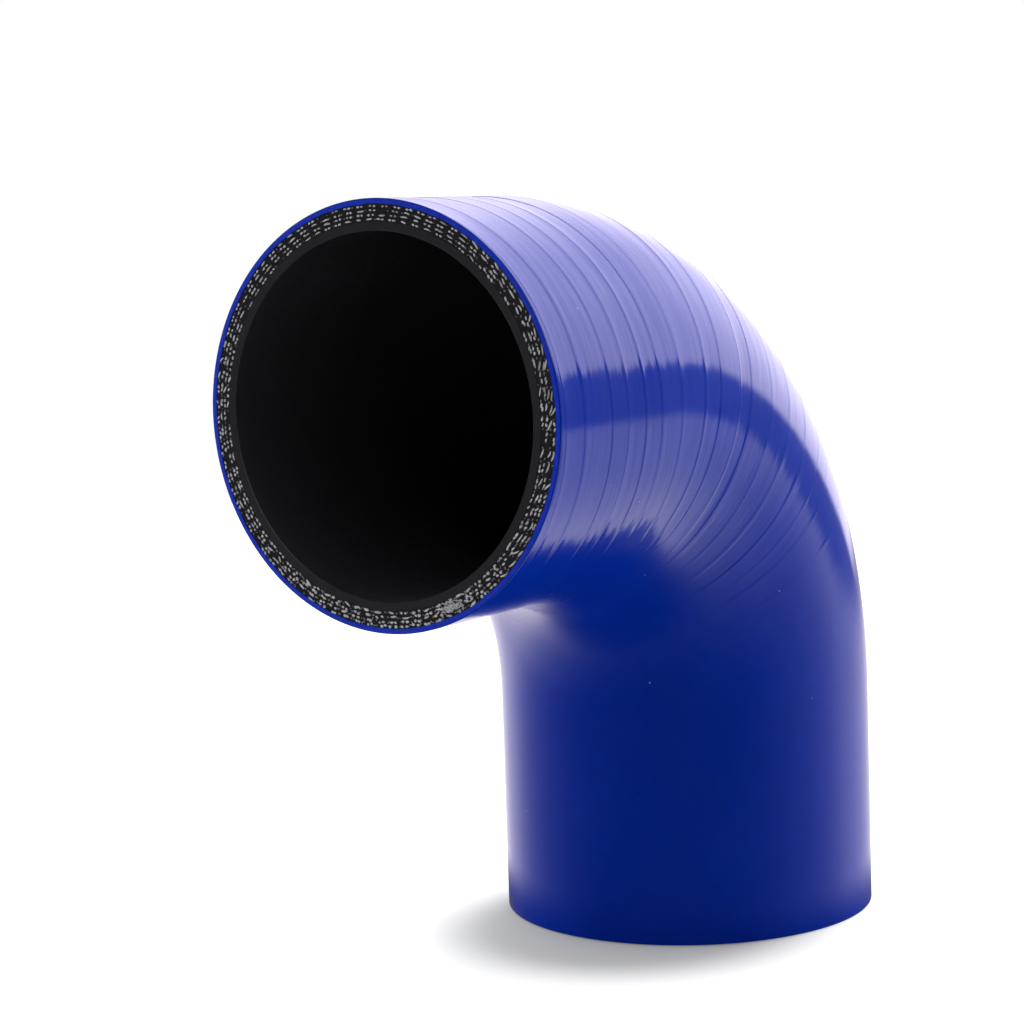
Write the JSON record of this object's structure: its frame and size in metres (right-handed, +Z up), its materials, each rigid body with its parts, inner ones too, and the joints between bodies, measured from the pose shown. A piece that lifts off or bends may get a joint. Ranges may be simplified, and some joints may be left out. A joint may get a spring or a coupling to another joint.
{
  "type": "silicone elbow hose",
  "caption": "Right-angle silicone coolant or intake hose with square-cut ends, glossy blue tape-marked cover and black fabric-reinforced wall.",
  "frame": {"origin": "on the floor under the middle of the hose's length and width, with the lower cut end on the floor", "axes": "+Z up along the lower leg, +X the way the upper leg's cut end faces, Y across the bend's plane of symmetry"},
  "size_m": [0.135, 0.074, 0.1429],
  "materials": {
    "blue_cover": "glossy",
    "ply_rubber": "matte",
    "black_liner": "satin"
  },
  "bodies": {
    "root": {"elbow_hose": "blue_cover"}
  },
  "joints": []
}
